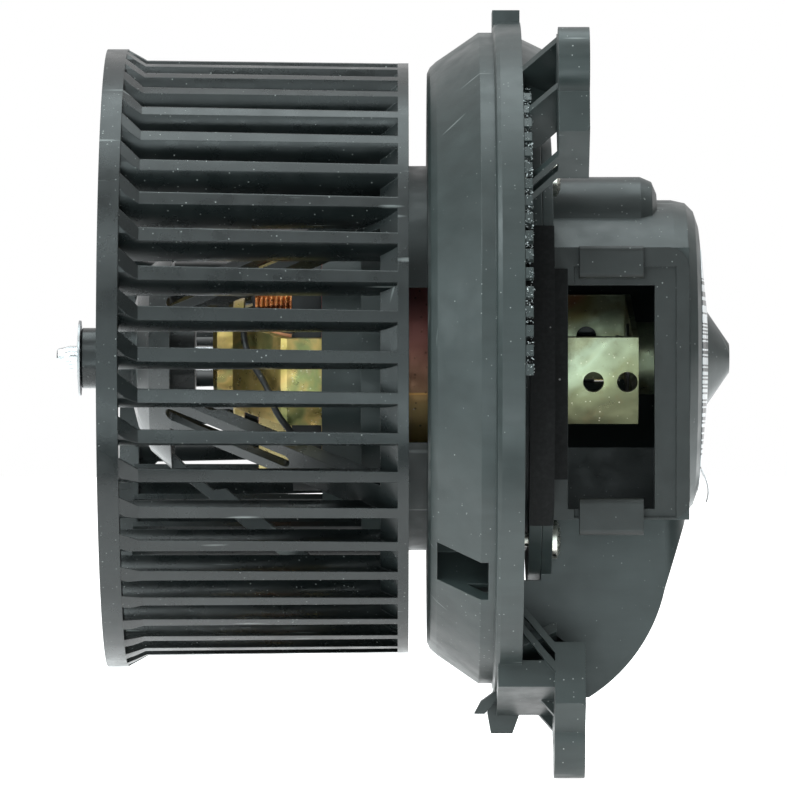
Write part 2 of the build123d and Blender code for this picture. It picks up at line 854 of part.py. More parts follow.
# ---------------------------------------------------------------- carrier and flange
def drum_shell():
    """Hollow drum with its spigot and the flange ring that seats on the casing."""
    inner = spigot_radius - drum_wall
    return turned([
        (drum_front, carrier_bore),
        (drum_front, drum_front_radius - drum_corner),
        (drum_front + 0.3 * drum_corner, drum_front_radius - 0.35 * drum_corner),
        (drum_front + drum_corner, drum_front_radius + 0.3 * drum_corner),
        (-spigot_length, spigot_radius),
        (0.0, spigot_radius),
        (0.0, flange_radius - flange_edge_round),
        (0.3 * flange_edge_round, flange_radius - 0.3 * flange_edge_round),
        (flange_edge_round, flange_radius),
        (flange_thickness, flange_radius),
        (flange_thickness, inner),
        (-spigot_length + 1.0, inner),
        (drum_inner_face, drum_front_radius - drum_wall),
        (drum_inner_face, carrier_bore),
    ])


def carrier_tube():
    """Tube around the motor, its narrow neck, the rear collar and the cover's seat."""
    body = tube(carrier_front, carrier_back, carrier_radius, carrier_bore)
    body += tube(carrier_front, carrier_front + carrier_wall, carrier_radius, neck_bore)
    body += tube(neck_front, carrier_front + carrier_wall, neck_radius, neck_bore)
    body += tube(carrier_back - end_flange_thickness, carrier_back, end_flange_radius, carrier_bore)
    collar = tube(collar_front, carrier_back, neck_radius, neck_bore)
    rib = block((collar_front, carrier_back), (-carrier_bore - 0.5, -neck_radius + 0.5),
                (-drum_rib_thickness / 2.0, drum_rib_thickness / 2.0))
    body += [collar] + ring_of(rib, collar_ribs, 30.0)
    return body - lead_notches(neck_front - 1.0, carrier_back + 1.0)


def ear_web():
    """Gusset between the drum's wall and the ear's back face."""
    back = ear_front + ear_thickness
    return plate_xy([
        (0.0, spigot_radius - 1.5),
        (0.0, ear_web_root),
        (ear_web_reach, ear_web_root),
        (back, ear_web_back_radius),
        (back, ear_shoulder_radius - 1.0),
        (ear_front, ear_shoulder_radius - 1.0),
        (flange_thickness, flange_radius - 1.5),
    ], ear_web_thickness)


def ear_strut(raise_by):
    """Narrow diagonal rib along the near edge of the gusset."""
    back = ear_front + ear_thickness
    front = ear_web_reach - ear_strut_pitch
    root = ear_web_root + raise_by
    tip = ear_web_back_radius + raise_by
    start = root - (tip - root) * ear_strut_pitch / (back - ear_web_reach)
    return plate_xy([
        (front, start),
        (back, tip),
        (back, tip + ear_strut_width),
        (front, start + ear_strut_width),
    ], ear_web_thickness)


def ear_bracket(arc_span, arc_shift=0.0, near_side=-1, skirt=False):
    """Screw ear on the -Y side: plate with a round boss, arc wall, gussets and two diagonal ribs."""
    half = ear_root_width / 2.0
    outline = [
        (-ear_pitch_radius, ear_radius),
        (-ear_shoulder_radius, half),
        (-ear_root_radius, half),
        (-ear_root_radius, -half),
        (-ear_shoulder_radius, -half),
        (-ear_pitch_radius, -ear_radius),
    ]
    plate = extrude(Plane.YZ * make_face(Polyline(*outline, close=True)), amount=ear_thickness)
    plate = Pos(ear_front, 0, 0) * plate
    boss_middle = ear_front + ear_thickness / 2.0
    boss = Pos(boss_middle, -ear_pitch_radius, 0) * Cylinder(ear_radius, ear_thickness, rotation=(0, 90, 0))
    hole = Pos(boss_middle, -ear_pitch_radius, 0)
    hole = hole * Cylinder(ear_hole_radius, ear_thickness * 2.0, rotation=(0, 90, 0))
    wall = turned([
        (flange_thickness - 1.0, ear_arc_radius - drum_wall),
        (flange_thickness - 1.0, ear_arc_radius),
        (flange_thickness, ear_arc_radius),
        (ear_front + 0.5, ear_arc_radius - ear_arc_drop),
        (ear_front + 0.5, ear_arc_radius - ear_arc_drop - drum_wall),
    ], span=arc_span)
    wall = at_angle(wall, arc_shift)
    offset = half - ear_web_thickness / 2.0
    webs = [Pos(0, 0, shift) * ear_web() for shift in (0.0, -near_side * offset)]
    struts = [Pos(0, 0, near_side * offset) * ear_strut(raise_by) for raise_by in (0.0, ear_strut_pitch)]
    body = plate + [boss, wall] + webs + struts - hole
    if skirt:
        body += block((1.0, ear_front + 0.5), (-ear_skirt_radius, -spigot_radius), (-half + 2.0, half - 2.0))
    return body


def ear_brackets():
    """Three ears: the near upper one has a longer arc wall, the lower one a flat skirt."""
    step = 360.0 / ear_count
    upper = ear_bracket(ear_long_arc_span, ear_long_arc_centre)
    lower = ear_bracket(ear_arc_span, near_side=1, skirt=True)
    far = ear_bracket(ear_arc_span)
    ears = (upper, lower, far)
    return [at_angle(ear, ear_first_angle + step * index) for index, ear in enumerate(ears)]


def lower_ear_space(grow):
    """Space that the lower ear's bracket takes out of the scoop and its lip."""
    back = ear_front + ear_thickness + grow
    solid = plate_xy([
        (0.0, ear_web_root - 1.0 - grow),
        (ear_front, ear_web_root - 1.0 - grow),
        (back, ear_root_radius - grow),
        (back, ear_pitch_radius),
        (0.0, ear_pitch_radius),
    ], ear_root_width + 2.0 * grow)
    return at_angle(solid, ear_first_angle + 360.0 / ear_count)


def inlet_pocket():
    """Walls and opening of the cooling-air inlet in the drum's near lower side."""
    half = inlet_height / 2.0
    floor = drum_front_radius - inlet_depth
    cut = block((inlet_front, inlet_back), (-flange_radius, -floor), (-half, half))
    wall = block((drum_inner_face - 0.5, inlet_back + 1.4), (-drum_front_radius - 2.0, -floor + 1.4),
                 (-half - 1.4, half + 1.4))
    limit = turned([
        (drum_inner_face - 0.5, carrier_radius),
        (drum_inner_face - 0.5, drum_front_radius - 1.0),
        (-spigot_length, spigot_radius - 1.0),
        (0.0, spigot_radius - 1.0),
        (0.0, carrier_radius),
    ])
    return at_angle(wall, inlet_angle) & limit, at_angle(cut, inlet_angle)


def lugs():
    """Handling lug at the top, and the two location lugs at the bottom."""
    half = lug_width / 2.0
    top = block((0.0, flange_thickness - 0.1), (-half, half), (spigot_radius - 1.0, top_lug_radius))
    bottom = plate_xz([
        (-1.2, -bottom_lug_radius + 5.0),
        (-0.3, -bottom_lug_radius),
        (4.9, -bottom_lug_radius),
        (flange_thickness, -bottom_lug_radius + 5.0),
        (flange_thickness, -spigot_radius + 1.0),
        (0.2, -spigot_radius + 1.0),
        (0.2, -flange_radius),
    ], -half, half)
    small = plate_xz([
        (1.2, -spigot_radius - 1.0),
        (0.0, -spigot_radius - 2.0),
        (-2.8, -spigot_radius - 4.0),
        (-4.4, -spigot_radius - 7.0),
        (-1.9, -spigot_radius - 7.0),
        (1.2, -spigot_radius - 3.5),
    ], -half - 4.0, -half + 2.0)
    return [top, bottom, small]


def comb():
    """Row of small moulded teeth along the flange's back edge."""
    radius = flange_radius - 1.2
    tooth = block((comb_front - 0.3, comb_front + comb_height), (-radius - 1.0, -radius + 1.4),
                  (-comb_tooth, comb_tooth))
    return [at_angle(tooth, comb_first_angle + comb_pitch_angle * index) for index in range(comb_teeth)]


def screw_pattern(shape):
    placed = Pos(0, -cover_screw_orbit, 0) * shape
    return [at_angle(placed, angle) for angle in cover_screw_angles]


def flange_housing():
    rib = plate_xy([
        (drum_inner_face - 0.5, carrier_radius - 1.0),
        (drum_inner_face - 0.5, drum_front_radius - drum_wall + 0.5),
        (-spigot_length, spigot_radius - drum_wall - 1.0),
        (0.0, spigot_radius - drum_wall + 0.5),
        (0.0, carrier_radius - 1.0),
    ], drum_rib_thickness)
    ears = ear_brackets()
    pocket, inlet = inlet_pocket()
    body = drum_shell() + [carrier_tube(), pocket] + ring_of(rib, drum_ribs, 12.0) + ears + lugs() + comb()
    motor_space = tube(neck_front - 1.0, carrier_back + 1.0, neck_bore)
    window = block((carrier_window_front, drum_front), (-carrier_radius - 1.0, -neck_radius),
                   (carrier_window_bottom, carrier_window_top))
    pilot = Pos(carrier_back, 0, 0) * Cylinder(cover_screw_radius + seat_gap, 14.0, rotation=(0, 90, 0))
    return body - [inlet, motor_space, window] - screw_pattern(pilot)


def isolator(x_start):
    """Rubber ring between the can and the carrier."""
    ring = tube(x_start, x_start + isolator_length, isolator_outer, isolator_bore)
    return ring - lead_notches(x_start - 1.0, x_start + isolator_length + 1.0)


# ---------------------------------------------------------------- rear cover
def cap_solid(inset):
    """Cap and dome, smaller by an inset for its hollow."""
    radius = cover_radius - inset
    back = cover_back - inset
    corner = cover_corner - inset / 2.0
    front = cover_front if inset == 0.0 else cover_front - 1.0
    return turned([
        (front, 0.0),
        (front, radius),
        (back - corner, radius),
        (back - 0.45 * corner, radius - 0.12 * corner),
        (back - 0.12 * corner, radius - 0.45 * corner),
        (back + 0.4, radius - corner),
        (back + dome_rise, nose_radius - inset),
        (back + dome_rise, 0.0),
    ])


def scoop_outline():
    """Side outline of the scoop: straight below the cap, then an arc round to the flange."""
    shoulder = (scoop_shoulder_x, -cover_radius - 1.0)
    knee = (scoop_knee_x, scoop_knee_height)
    curve_middle = (scoop_middle_x, scoop_middle_height)
    tail = (scoop_tail_x, scoop_bottom)
    edges = [
        Polyline(tail, (cover_front, scoop_bottom), (cover_front, 0.0), (scoop_shoulder_x, 0.0), shoulder, knee),
        ThreePointArc(knee, curve_middle, tail),
    ]
    return make_face(Curve() + edges)


def scoop_solid(inset):
    """Cooling scoop: the outline across its width, less a wall when hollow, clear of the lower ear."""
    outline = scoop_outline()
    if inset > 0.0:
        outline = offset(outline, -inset)
        outline += Pos(cover_front + inset, -45.0) * Rectangle(2.0 * inset, 60.0)
    near = scoop_near + inset
    far = scoop_far - inset
    body = Pos(0, far, 0) * extrude(Plane.XZ * outline, amount=far - near)
    edge = scoop_edge - inset / 2.0
    rounded = block((cover_front - 5.0, 46.4 - inset), (near, far), (scoop_bottom - 2.0, 5.0))
    rounded = fillet(rounded.edges().filter_by(Axis.Z).group_by(Axis.X)[-1], edge)
    return (body & rounded) - lower_ear_space(ear_clearance + inset)


def duct_bulge(inset):
    """Horizontal bulge along the top of the cap with a rounded end."""
    radius = duct_radius - inset
    end = duct_back - inset
    front = cover_front if inset == 0.0 else cover_front - 1.0
    place = Pos(0, duct_offset, duct_height)
    body = turned([
        (front, 0.0),
        (front, radius),
        (end - 4.0, radius),
        (end - 1.2, radius - 1.2),
        (end, radius - 4.0),
        (end, 0.0),
    ])
    return place * body


def frame_base(inset):
    """Flat-sided base that carries the window frame on the near side."""
    near = cover_radius - inset
    return block((cover_front + inset, frame_back - inset), (-near, 0.0),
                 (frame_bottom + inset, frame_top - inset))


def cover_flange():
    """Flat ring that the screws pull against the carrier."""
    return tube(cover_front, cover_mount_x, end_flange_radius, cover_radius - 2.0 * cover_wall)


def rear_cover():
    outside = cap_solid(0.0) + [scoop_solid(0.0), duct_bulge(0.0), frame_base(0.0), cover_flange()]
    inside = cap_solid(cover_wall) + [scoop_solid(cover_wall), duct_bulge(cover_wall), frame_base(cover_wall)]
    nose = turned([
        (dome_back - 1.0, 0.0),
        (dome_back - 1.0, nose_radius + 0.3),
        (dome_back, nose_radius),
        (dome_back + nose_length, nose_tip_radius),
        (dome_back + nose_length, 0.0),
    ])
    lip = block((scoop_lip_front, cover_front + 1.0), (scoop_near, scoop_near + cover_wall),
                (scoop_lip_bottom, -end_flange_radius + 1.5))
    body = outside - inside
    body += nose
    body += lip - lower_ear_space(ear_clearance)
    window = block((window_front, window_back), (-cover_radius - 1.0, -cover_radius + 8.0),
                   (window_bottom, window_top))
    hole = Pos(cover_front, 0, 0)
    hole = hole * Cylinder(cover_screw_radius + seat_gap, 12.0, rotation=(0, 90, 0))
    body -= window
    body -= terminal_slots()
    return body - screw_pattern(hole)


def side_cover():
    """Snap-on frame around the side window, with its two clips."""
    near = cover_radius + seat_gap
    far = near + frame_thickness
    plate = block((frame_front, frame_back), (-far, -near), (frame_bottom, frame_top))
    corners = plate.edges().filter_by(Axis.Y).group_by(Axis.X)[-1]
    plate = fillet(corners, frame_corner)
    sunk = block((frame_front + 5.0, frame_back - 3.2), (-far - 1.0, -far + 1.0),
                 (window_bottom - 2.0, frame_top - 4.6))
    plate -= sunk
    window = block((window_front, window_back), (-far - 1.0, -near + 1.0), (window_bottom, window_top))
    plate -= window
    top_clip = block((clip_front, clip_back), (-far - clip_depth, -near), (frame_top - 7.4, frame_top + 0.3))
    low_clip = block((clip_front, clip_back), (-far - clip_depth, -near),
                     (frame_bottom - 3.6, frame_bottom + 5.2))
    for clip in (top_clip, low_clip):
        plate += fillet(clip.edges().filter_by(Axis.X).group_by(Axis.Y)[0], 1.4)
    return plate


def cover_screws():
    """Four pan-head screws with cross recesses."""
    head = turned([
        (cover_mount_x + seat_gap, 0.0),
        (cover_mount_x + seat_gap, cover_screw_head_radius),
        (cover_mount_x + 0.6 * cover_screw_head, cover_screw_head_radius),
        (cover_mount_x + cover_screw_head, cover_screw_head_radius - 1.6),
        (cover_mount_x + cover_screw_head, 0.0),
    ])
    shank = tube(cover_mount_x - cover_screw_length, cover_mount_x + 1.0, cover_screw_radius)
    top = cover_mount_x + cover_screw_head
    recess = block((top - 1.1, top + 1.0), (-2.2, 2.2), (-0.5, 0.5))
    recess += block((top - 1.1, top + 1.0), (-0.5, 0.5), (-2.2, 2.2))
    return Compound(children=screw_pattern(head + shank - recess))


def rating_label():
    """Paper label that follows the dome's near half."""
    gap = seat_gap
    rim_radius = cover_radius - cover_corner
    start = (cover_back + 0.4, rim_radius)
    end = (dome_back, nose_radius)
    slope = (start[1] - end[1]) / (end[0] - start[0])
    low_radius = nose_radius + 2.0
    low_x = start[0] + (rim_radius - low_radius) / slope
    sheet = turned([
        (start[0] + gap, rim_radius),
        (start[0] + gap + label_thickness, rim_radius),
        (low_x + gap + label_thickness, low_radius),
        (low_x + gap, low_radius),
    ])
    outline = block((cover_back - 5.0, dome_back + 5.0), (label_near, label_far), (label_bottom, label_top))
    return sheet & outline


def all_nodes():
    return {
        "flange_housing": flange_housing,
        "rear_cover": rear_cover,
        "side_cover": side_cover,
        "cover_screws": cover_screws,
        "rating_label": rating_label,
        "motor_can": motor_can,
        "front_bracket": front_bracket,
        "rear_bracket": rear_bracket,
        "magnet_near": lambda: magnet(0.0),
        "magnet_far": lambda: magnet(180.0),
        "magnet_clips": magnet_clips,
        "front_isolator": lambda: isolator(front_isolator_x),
        "rear_isolator": lambda: isolator(rear_isolator_x),
        "front_bearing": lambda: bearing(front_cup_face + bracket_wall + seat_gap),
        "rear_bearing": lambda: bearing(rear_cup_face - bracket_wall - seat_gap - bearing_length),
        "front_bearing_retainer": lambda: bearing_retainer(front_cup_face + front_cup_depth + seat_gap),
        "rear_bearing_retainer": lambda: bearing_retainer(rear_strap_back - bracket_wall - 0.6 - seat_gap),
        "brush_card": brush_card,
        "brush_box_upper": lambda: brush_box(1),
        "brush_box_lower": lambda: brush_box(-1),
        "brush_spring_upper": lambda: brush_spring(1),
        "brush_spring_lower": lambda: brush_spring(-1),
        "choke_cores": lambda: choke_pair(choke_core()),
        "choke_coils": lambda: choke_pair(choke_coil()),
        "lead_positive": lambda: lead(1),
        "lead_negative": lambda: lead(-1),
        "connector_housing": connector_housing,
        "terminal_positive": lambda: terminal(1),
        "terminal_negative": lambda: terminal(-1),
        "shaft": shaft,
        "fan_wheel": fan_wheel,
        "push_nut": push_nut,
        "lamination_stack": lamination_stack,
        "armature_windings": armature_windings,
        "front_end_insulator": lambda: end_insulator(stack_front - insulator_thickness - seat_gap),
        "rear_end_insulator": lambda: end_insulator(stack_back + seat_gap),
        "commutator_core": commutator_core,
        "commutator_bars": commutator_bars,
        "front_thrust_washer": lambda: thrust_washer(commutator_front - 1.0 - thrust_washer_thickness - 0.1),
        "rear_thrust_washer": lambda: thrust_washer(rear_strap_back - bracket_wall - 3.0),
        "brush_upper": lambda: brush(1),
        "brush_lower": lambda: brush(-1),
    }


os.makedirs("parts", exist_ok=True)
for node_name, make in all_nodes().items():
    shape = make()
    shape.label = node_name
    export_step(shape, f"parts/{node_name}.step")
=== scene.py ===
import json
import math
import random

import bmesh
import bpy
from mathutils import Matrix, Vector


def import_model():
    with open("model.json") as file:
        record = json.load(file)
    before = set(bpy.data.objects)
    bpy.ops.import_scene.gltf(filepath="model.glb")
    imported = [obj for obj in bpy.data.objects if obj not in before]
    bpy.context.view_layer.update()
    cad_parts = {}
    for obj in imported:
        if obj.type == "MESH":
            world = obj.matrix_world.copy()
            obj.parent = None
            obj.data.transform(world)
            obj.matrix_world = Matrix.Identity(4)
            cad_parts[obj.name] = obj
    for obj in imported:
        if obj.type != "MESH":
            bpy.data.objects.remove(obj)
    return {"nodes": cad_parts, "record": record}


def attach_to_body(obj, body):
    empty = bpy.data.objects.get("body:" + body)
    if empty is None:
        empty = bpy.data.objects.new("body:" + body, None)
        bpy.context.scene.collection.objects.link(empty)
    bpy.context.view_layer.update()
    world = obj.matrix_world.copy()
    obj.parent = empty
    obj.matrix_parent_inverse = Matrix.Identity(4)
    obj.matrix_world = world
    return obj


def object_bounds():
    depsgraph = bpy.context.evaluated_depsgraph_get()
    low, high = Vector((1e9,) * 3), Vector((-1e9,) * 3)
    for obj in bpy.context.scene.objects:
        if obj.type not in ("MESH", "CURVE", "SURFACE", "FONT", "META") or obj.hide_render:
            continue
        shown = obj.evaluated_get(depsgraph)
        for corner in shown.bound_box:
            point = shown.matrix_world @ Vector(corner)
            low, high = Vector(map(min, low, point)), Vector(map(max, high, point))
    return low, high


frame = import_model()
cad_low, cad_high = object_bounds()
nodes = frame["nodes"]

MM = 0.001

# Camera: level, square to the shaft. VIEW_WIDTH is what it sees across, in the plane of the shaft.
CAMERA_DISTANCE = 1.7
CAMERA_X = -23.9 * MM
CAMERA_Z = -8.6 * MM
CAMERA_FAR_CLIP = 20.0
VIEW_WIDTH = 191.3 * MM
SENSOR = 36.0

# Stage: the table lies just under the object and starts a little in front of it.
FLOOR_GAP = 0.3 * MM
FLOOR_REACH = 6.0
FLOOR_FRONT = -0.14
FLOOR_GLOW = 0.9
PLAIN_LIGHT = (1.0, 1.0, 1.0)
COOL_LIGHT = (0.84, 0.98, 1.0)

# Tones that age a surface; the pale edge tones are painted highlights, on plastic partly wear as well.
DUST_FILM = (0.10, 0.11, 0.11)
WORN_EDGE_HIGHLIGHT = (0.30, 0.33, 0.33)
SCUFF = (0.36, 0.38, 0.37)
DUST_SPECK = (0.45, 0.47, 0.45)
GREY_SPECK = (0.45, 0.45, 0.43)
ZINC_STAIN = (0.16, 0.12, 0.06)
ZINC_SPARKLE = (0.85, 0.80, 0.62)
ZINC_EDGE_HIGHLIGHT = (0.88, 0.80, 0.58)
PRINT_BLACK = (0.015, 0.015, 0.018)


# ---------------------------------------------------------------- node helpers
class Graph:
    """Short calls for building one material's node tree."""

    def __init__(self, name):
        self.material = bpy.data.materials.new(name)
        self.material.use_nodes = True
        self.tree = self.material.node_tree
        self.shader = self.tree.nodes["Principled BSDF"]
        self.coords = self.tree.nodes.new("ShaderNodeTexCoord").outputs["Object"]

    def add(self, kind, **settings):
        node = self.tree.nodes.new(kind)
        for key, value in settings.items():
            setattr(node, key, value)
        return node

    def link(self, source, target):
        self.tree.links.new(source, target)

    def feed(self, value, socket):
        if hasattr(value, "links"):
            self.link(value, socket)
        else:
            socket.default_value = value

    def set(self, **values):
        """Constants straight on the shader's own sockets."""
        for key, value in values.items():
            self.shader.inputs[key.replace("_", " ")].default_value = value

    def stretch(self, scale, turn=(0.0, 0.0, 0.0)):
        """Coordinates scaled apart per axis, for grain and scratches with a direction."""
        node = self.add("ShaderNodeMapping")
        node.inputs["Scale"].default_value = scale
        node.inputs["Rotation"].default_value = turn
        self.link(self.coords, node.inputs["Vector"])
        return node.outputs["Vector"]

    def noise(self, scale, detail=3.0, roughness=0.55, where=None, distortion=0.0):
        node = self.add("ShaderNodeTexNoise")
        node.inputs["Scale"].default_value = scale
        node.inputs["Detail"].default_value = detail
        node.inputs["Roughness"].default_value = roughness
        node.inputs["Distortion"].default_value = distortion
        self.link(where or self.coords, node.inputs["Vector"])
        return node.outputs["Fac"]

    def cells(self, scale, where=None):
        """Distance to the nearest random point, and that cell's random colour."""
        node = self.add("ShaderNodeTexVoronoi")
        node.inputs["Scale"].default_value = scale
        self.link(where or self.coords, node.inputs["Vector"])
        return node.outputs["Distance"], node.outputs["Color"]

    def math(self, operation, first, second=0.5, third=None, clamp=False):
        node = self.add("ShaderNodeMath", operation=operation, use_clamp=clamp)
        self.feed(first, node.inputs[0])
        self.feed(second, node.inputs[1])
        if third is not None:
            self.feed(third, node.inputs[2])
        return node.outputs[0]

    def span(self, value, low, high, to_low=0.0, to_high=1.0):
        """Straight-line remap, held at both ends."""
        node = self.add("ShaderNodeMapRange", clamp=True)
        self.feed(value, node.inputs["Value"])
        node.inputs["From Min"].default_value = low
        node.inputs["From Max"].default_value = high
        node.inputs["To Min"].default_value = to_low
        node.inputs["To Max"].default_value = to_high
        return node.outputs["Result"]

    def ramp(self, value, stops):
        node = self.add("ShaderNodeValToRGB")
        elements = node.color_ramp.elements
        while len(elements) < len(stops):
            elements.new(0.5)
        for element, (place, colour) in zip(elements, stops):
            element.position = place
            element.color = (*colour, 1.0)
        self.feed(value, node.inputs["Fac"])
        return node.outputs["Color"]

    def mix(self, amount, first, second, blend="MIX"):
        node = self.add("ShaderNodeMix", data_type="RGBA", blend_type=blend)
        self.feed(amount, node.inputs[0])
        for value, socket in ((first, node.inputs[6]), (second, node.inputs[7])):
            self.feed((*value, 1.0) if isinstance(value, tuple) else value, socket)
        return node.outputs[2]

    def axis(self, name):
        node = self.add("ShaderNodeSeparateXYZ")
        self.link(self.coords, node.inputs[0])
        return node.outputs[name]

    def edges(self, radius, gain=3.0):
        """Bright along sharp edges: how far a rounded normal leaves the true one."""
        bevel = self.add("ShaderNodeBevel", samples=4)
        bevel.inputs["Radius"].default_value = radius
        geometry = self.add("ShaderNodeNewGeometry")
        dot = self.add("ShaderNodeVectorMath", operation="DOT_PRODUCT")
        self.link(bevel.outputs[0], dot.inputs[0])
        self.link(geometry.outputs["Normal"], dot.inputs[1])
        away = self.math("SUBTRACT", 1.0, dot.outputs["Value"])
        return self.math("MULTIPLY", away, gain, clamp=True), bevel.outputs[0]

    def bump(self, height, distance, strength=1.0, normal=None):
        node = self.add("ShaderNodeBump")
        node.inputs["Strength"].default_value = strength
        node.inputs["Distance"].default_value = distance
        self.link(height, node.inputs["Height"])
        if normal is not None:
            self.link(normal, node.inputs["Normal"])
        return node.outputs[0]

    def finish(self, colour=None, roughness=None, normal=None):
        for value, name in ((colour, "Base Color"), (roughness, "Roughness"), (normal, "Normal")):
            if value is not None:
                self.feed(value, self.shader.inputs[name])
        return self.material


# ---------------------------------------------------------------- materials
def chosen_cells(graph, colour, channel, share):
    """One in a random share of the cells, zero in the others."""
    pick = graph.add("ShaderNodeSeparateColor")
    graph.link(colour, pick.inputs[0])
    return graph.math("GREATER_THAN", pick.outputs[channel], 1.0 - share)


def specks(graph, scale, size, share):
    """Scattered dots: only a share of the cells carries one."""
    distance, colour = graph.cells(scale)
    dot = graph.span(distance, size, size * 0.55)
    return graph.math("MULTIPLY", dot, chosen_cells(graph, colour, 0, share))


def scratches(graph, scale, turn, share):
    """Short fine lines from cells stretched along one direction."""
    where = graph.stretch((1.0, 16.0, 1.0), turn)
    distance, colour = graph.cells(scale, where)
    line = graph.span(distance, 0.22, 0.1)
    return graph.math("MULTIPLY", line, chosen_cells(graph, colour, 1, share))


def tinted(colour, factor):
    """The same colour, darker or lighter."""
    return tuple(min(1.0, factor * channel) for channel in colour)


def moulded_plastic(name, colour, roughness=0.42, dust=0.5, wear=0.5):
    """Injection-moulded plastic: fine grain, flow marks, dust specks, scuffs, and pale edges that are
    partly wear and partly a painted highlight.
    """
    graph = Graph(name)
    cloud = graph.noise(38.0, 4.0)
    smear = graph.noise(1.0, 5.0, where=graph.stretch((60.0, 300.0, 300.0)))
    broad = graph.span(cloud, 0.3, 0.7, -0.18, 0.18)
    streaks = graph.span(smear, 0.3, 0.7, -0.12, 0.12)
    shade = graph.span(graph.math("ADD", broad, streaks), -0.3, 0.3)
    base = graph.mix(shade, tinted(colour, 0.72), tinted(colour, 1.35))
    fine = specks(graph, 900.0, 0.20, 0.30 * dust)
    coarse = specks(graph, 520.0, 0.10, 0.10 * dust)
    patches = graph.span(graph.noise(22.0, 2.0), 0.42, 0.62)
    dots = graph.math("MAXIMUM", graph.math("MULTIPLY", fine, patches), coarse)
    long_scuffs = scratches(graph, 46.0, (0.3, 0.5, 0.9), 0.10 * wear)
    short_scuffs = scratches(graph, 60.0, (1.2, 0.2, 2.2), 0.08 * wear)
    scuffs = graph.math("MAXIMUM", long_scuffs, short_scuffs)
    edge, rounded = graph.edges(0.28 * MM)
    worn_edge_highlight = graph.math("MULTIPLY", edge, graph.span(graph.noise(520.0, 3.0), 0.4, 0.62, 0.12, 0.75))
    film = graph.math("MULTIPLY", graph.span(graph.noise(75.0, 6.0, 0.7), 0.45, 0.8), 0.10 * dust)
    base = graph.mix(film, base, DUST_FILM)
    # Pale edges: partly wear, partly a painted highlight along every sharp edge.
    base = graph.mix(graph.math("MULTIPLY", worn_edge_highlight, 0.3 * wear), base, WORN_EDGE_HIGHLIGHT)
    base = graph.mix(graph.math("MULTIPLY", scuffs, 0.35), base, SCUFF)
    base = graph.mix(graph.math("MULTIPLY", dots, 0.6), base, DUST_SPECK)
    gloss = graph.span(graph.noise(140.0, 5.0), 0.3, 0.7, roughness - 0.07, roughness + 0.10)
    rough = graph.math("ADD", gloss, graph.math("MULTIPLY", dots, 0.35), clamp=True)
    grain = graph.math("ADD", graph.noise(2600.0, 2.0), graph.math("MULTIPLY", dots, 1.6))
    ripple = graph.noise(210.0, 2.0)
    normal = graph.bump(grain, 0.025 * MM, 0.55, rounded)
    normal = graph.bump(ripple, 0.05 * MM, 0.35, normal)
    graph.set(Specular_IOR_Level=0.5, Metallic=0.0)
    return graph.finish(base, rough, normal)


def yellow_zinc(name, stops, roughness=0.30, scale=55.0):
    """Passivated zinc: gold drifting to green and pink, with a sparkle of fine crystals and a painted
    highlight along its edges.
    """
    graph = Graph(name)
    drift = graph.noise(scale, 3.0, 0.5, distortion=0.8)
    base = graph.ramp(graph.span(drift, 0.28, 0.72), stops)
    stain = graph.span(graph.noise(260.0, 6.0, 0.7), 0.52, 0.72)
    base = graph.mix(graph.math("MULTIPLY", stain, 0.45), base, ZINC_STAIN)
    sparkle = specks(graph, 900.0, 0.2, 0.35)
    base = graph.mix(graph.math("MULTIPLY", sparkle, 0.5), base, ZINC_SPARKLE)
    edge, rounded = graph.edges(0.2 * MM)
    # Painted highlight: a pale gold along every sharp edge.
    base = graph.mix(graph.math("MULTIPLY", edge, 0.4), base, ZINC_EDGE_HIGHLIGHT)
    rough = graph.span(graph.noise(320.0, 5.0), 0.3, 0.7, roughness - 0.08, roughness + 0.16)
    normal = graph.bump(graph.noise(1500.0, 3.0), 0.02 * MM, 0.6, rounded)
    graph.set(Metallic=0.85)
    return graph.finish(base, rough, normal)


def can_steel():
    """Rolled can: reddish chromate above a seam on the side, gold below it, pitted all over. Both tones
    carry painted light: darkest beside the seam, pale pink toward the top and bright gold toward the bottom
    as painted highlights.
    """
    graph = Graph("can_steel")
    seam_level = -8.0 * MM
    red_top = 17.0 * MM
    gold_bottom = -22.0 * MM
    wander = graph.math("MULTIPLY", graph.noise(90.0, 3.0), 1.2 * MM)
    level = graph.math("ADD", graph.axis("Z"), wander)
    # Upper tone with painted light: painted shade next to the seam, a painted highlight of pale pink toward
    # the top.
    upper = graph.ramp(graph.span(level, seam_level, red_top), [
        (0.0, (0.30, 0.16, 0.09)),
        (0.45, (0.26, 0.10, 0.08)),
        (1.0, (0.55, 0.21, 0.20)),
    ])
    # Lower tone with painted light: painted shade next to the seam, bright gold toward the bottom as a
    # painted highlight.
    lower = graph.ramp(graph.span(level, gold_bottom, seam_level), [
        (0.0, (0.90, 0.70, 0.24)),
        (0.55, (0.90, 0.62, 0.28)),
        (1.0, (0.40, 0.21, 0.08)),
    ])
    side = graph.math("GREATER_THAN", level, seam_level)
    base = graph.mix(side, lower, upper)
    from_seam = graph.math("ABSOLUTE", graph.math("SUBTRACT", level, seam_level))
    seam = graph.span(from_seam, 0.35 * MM, 0.1 * MM)
    base = graph.mix(graph.math("MULTIPLY", seam, 0.8), base, (0.75, 0.40, 0.12))
    pits = specks(graph, 700.0, 0.26, 0.4)
    base = graph.mix(graph.math("MULTIPLY", pits, 0.65), base, (0.10, 0.05, 0.03))
    glints = specks(graph, 420.0, 0.12, 0.2)
    base = graph.mix(graph.math("MULTIPLY", glints, 0.7), base, (0.80, 0.62, 0.50))
    rough = graph.span(graph.noise(300.0, 5.0), 0.3, 0.7, 0.28, 0.52)
    heights = graph.math("SUBTRACT", graph.noise(500.0, 4.0), pits)
    graph.set(Metallic=0.75)
    return graph.finish(base, rough, graph.bump(heights, 0.06 * MM, 0.7))


